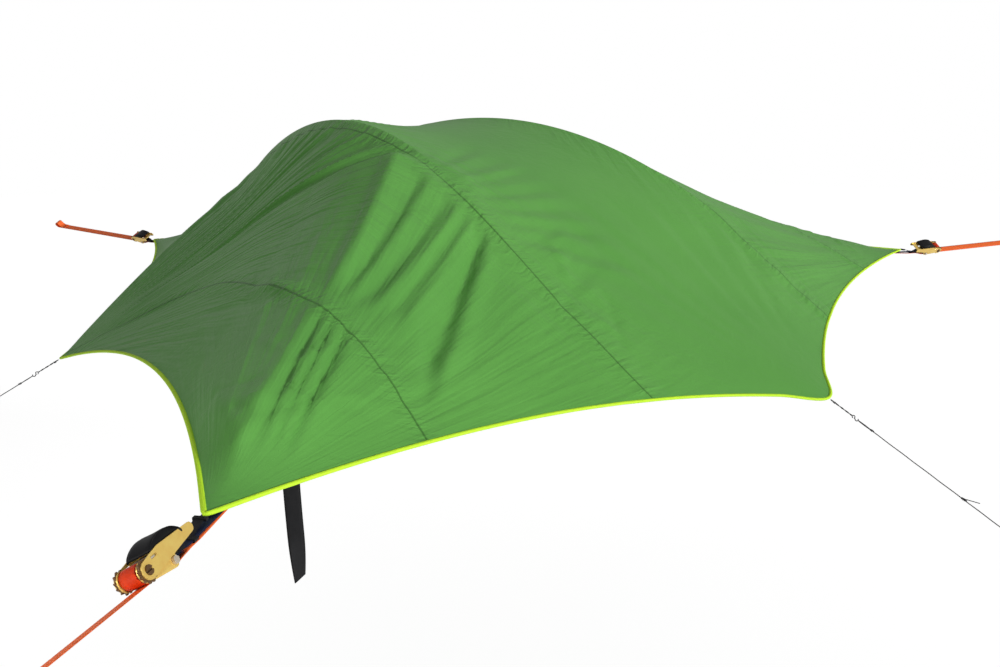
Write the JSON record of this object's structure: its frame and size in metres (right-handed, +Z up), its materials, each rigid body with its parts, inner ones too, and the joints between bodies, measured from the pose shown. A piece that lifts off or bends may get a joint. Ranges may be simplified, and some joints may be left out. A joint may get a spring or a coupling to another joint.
{
  "type": "suspended tent",
  "caption": "Triangular tent hung level between trees: rain fly over arched poles and mesh inner tent, taut floor with a hinged hatch, ratchet straps at the corners and guyed fly edges.",
  "frame": {"origin": "middle of the three hanging corners, at strap height", "axes": "+Z up; +Y towards the tail corner, so the door faces -Y; +X towards the occupant's right when they look towards the tail; X = 0 is the mirror plane of the cloth and poles"},
  "size_m": [5.4122, 5.7147, 1.2147],
  "materials": {
    "green_fly": "satin coated rainproof cloth",
    "lime_binding": "bright woven edge tape",
    "black_mesh": "fine knitted insect mesh",
    "grey_floor": "coated heavy cloth",
    "pole_alloy": "plain anodised tube",
    "navy_webbing": "close woven webbing",
    "black_webbing": "close woven webbing",
    "orange_webbing": "smooth woven strap",
    "gold_zinc": "yellow-passivated zinc plate",
    "bright_zinc": "zinc plate",
    "black_plastic": "moulded, fine texture",
    "black_cord": "braided cord",
    "dark_wire": "dark bent wire"
  },
  "bodies": {
    "tent": {"rain_fly": "green_fly", "fly_binding": "lime_binding", "inner_canopy": "black_mesh", "door_roll": "black_mesh", "tent_floor": "grey_floor", "pole_left": "pole_alloy", "pole_right": "pole_alloy", "guy_leader_front": "black_cord", "guy_hook_front": "dark_wire", "guy_line_front": "black_cord", "guy_leader_left": "black_cord", "guy_hook_left": "dark_wire", "guy_line_left": "black_cord", "guy_leader_right": "black_cord", "guy_hook_right": "dark_wire", "guy_line_right": "black_cord", "anchor_bolt_left": "bright_zinc", "anchor_bolt_right": "bright_zinc", "anchor_bolt_tail": "bright_zinc", "corner_web_left": "navy_webbing", "corner_web_right": "navy_webbing", "corner_web_tail": "navy_webbing", "fly_buckle_left": "black_plastic", "fly_buckle_right": "black_plastic", "fly_buckle_tail": "black_plastic", "fly_tie_left": "black_webbing", "fly_tie_right": "black_webbing", "fly_tie_tail": "black_webbing", "ratchet_frame_left": "gold_zinc", "ratchet_frame_right": "gold_zinc", "ratchet_frame_tail": "gold_zinc", "strap_tail_left": "orange_webbing", "strap_tail_right": "orange_webbing", "strap_tail_tail": "orange_webbing", "tree_strap_left": "orange_webbing", "tree_strap_right": "orange_webbing", "tree_strap_tail": "orange_webbing"},
    "mandrel_left": {"ratchet_mandrel_left": "bright_zinc", "strap_roll_left": "orange_webbing"},
    "handle_left": {"ratchet_handle_left": "gold_zinc", "handle_grip_left": "black_plastic"},
    "drive_pawl_left": {"drive_pawl_left": "bright_zinc"},
    "lock_pawl_left": {"lock_pawl_left": "bright_zinc"},
    "mandrel_right": {"ratchet_mandrel_right": "bright_zinc", "strap_roll_right": "orange_webbing"},
    "handle_right": {"ratchet_handle_right": "gold_zinc", "handle_grip_right": "black_plastic"},
    "drive_pawl_right": {"drive_pawl_right": "bright_zinc"},
    "lock_pawl_right": {"lock_pawl_right": "bright_zinc"},
    "mandrel_tail": {"ratchet_mandrel_tail": "bright_zinc", "strap_roll_tail": "orange_webbing"},
    "handle_tail": {"ratchet_handle_tail": "gold_zinc", "handle_grip_tail": "black_plastic"},
    "drive_pawl_tail": {"drive_pawl_tail": "bright_zinc"},
    "lock_pawl_tail": {"lock_pawl_tail": "bright_zinc"},
    "hatch": {"floor_hatch": "grey_floor"},
    "slider": {"hatch_slider": "black_plastic"},
    "loose_strap": {"hanging_strap": "black_webbing"}
  },
  "joints": [
    {"name": "mandrel_left_turn", "type": "hinge", "parent": "tent", "child": "mandrel_left", "pos_m": [-2.25167, -1.3, 0], "axis": [0.4373, -0.7574, 0.4848], "continuous": true},
    {"name": "handle_left_swing", "type": "hinge", "parent": "tent", "child": "handle_left", "pos_m": [-2.25167, -1.3, 0], "axis": [0.4373, -0.7574, 0.4848], "range_deg": [0, 140]},
    {"name": "drive_pawl_left_slide", "type": "slide", "parent": "handle_left", "child": "drive_pawl_left", "axis": [0.8617, 0.5073, 0.0153], "range_m": [0, 0.006], "stiffness_N_per_m": 400, "springref_m": -0.004},
    {"name": "lock_pawl_left_slide", "type": "slide", "parent": "tent", "child": "lock_pawl_left", "axis": [0.866, 0.5, 0], "range_m": [0, 0.006], "stiffness_N_per_m": 400, "springref_m": -0.004},
    {"name": "mandrel_right_turn", "type": "hinge", "parent": "tent", "child": "mandrel_right", "pos_m": [2.25167, -1.3, 0], "axis": [0.4145, 0.718, 0.5592], "continuous": true},
    {"name": "handle_right_swing", "type": "hinge", "parent": "tent", "child": "handle_right", "pos_m": [2.25167, -1.3, 0], "axis": [0.4145, 0.718, 0.5592], "range_deg": [0, 140]},
    {"name": "drive_pawl_right_slide", "type": "slide", "parent": "handle_right", "child": "drive_pawl_right", "axis": [-0.8708, 0.4915, 0.0145], "range_m": [0, 0.006], "stiffness_N_per_m": 400, "springref_m": -0.004},
    {"name": "lock_pawl_right_slide", "type": "slide", "parent": "tent", "child": "lock_pawl_right", "axis": [-0.866, 0.5, 0], "range_m": [0, 0.006], "stiffness_N_per_m": 400, "springref_m": -0.004},
    {"name": "mandrel_tail_turn", "type": "hinge", "parent": "tent", "child": "mandrel_tail", "pos_m": [0, 2.6, 0], "axis": [-0.848, 0, -0.5299], "continuous": true},
    {"name": "handle_tail_swing", "type": "hinge", "parent": "tent", "child": "handle_tail", "pos_m": [0, 2.6, 0], "axis": [-0.848, 0, -0.5299], "range_deg": [0, 140]},
    {"name": "drive_pawl_tail_slide", "type": "slide", "parent": "handle_tail", "child": "drive_pawl_tail", "axis": [-0.0092, -0.9998, 0.0148], "range_m": [0, 0.006], "stiffness_N_per_m": 400, "springref_m": -0.004},
    {"name": "lock_pawl_tail_slide", "type": "slide", "parent": "tent", "child": "lock_pawl_tail", "axis": [0, -1, 0], "range_m": [0, 0.006], "stiffness_N_per_m": 400, "springref_m": -0.004},
    {"name": "hatch_swing", "type": "hinge", "parent": "tent", "child": "hatch", "pos_m": [0, 0.26, -0.006], "axis": [1, 0, 0], "range_deg": [0, 90]},
    {"name": "hatch_slider_slide", "type": "slide", "parent": "tent", "child": "slider", "axis": [1, 0, 0], "range_m": [0, 0.24]},
    {"name": "loose_strap_swing", "type": "hinge", "parent": "tent", "child": "loose_strap", "pos_m": [-1.7078, -0.986, -0.0107], "axis": [0.5, -0.866, 0], "range_deg": [-60, 60]}
  ]
}
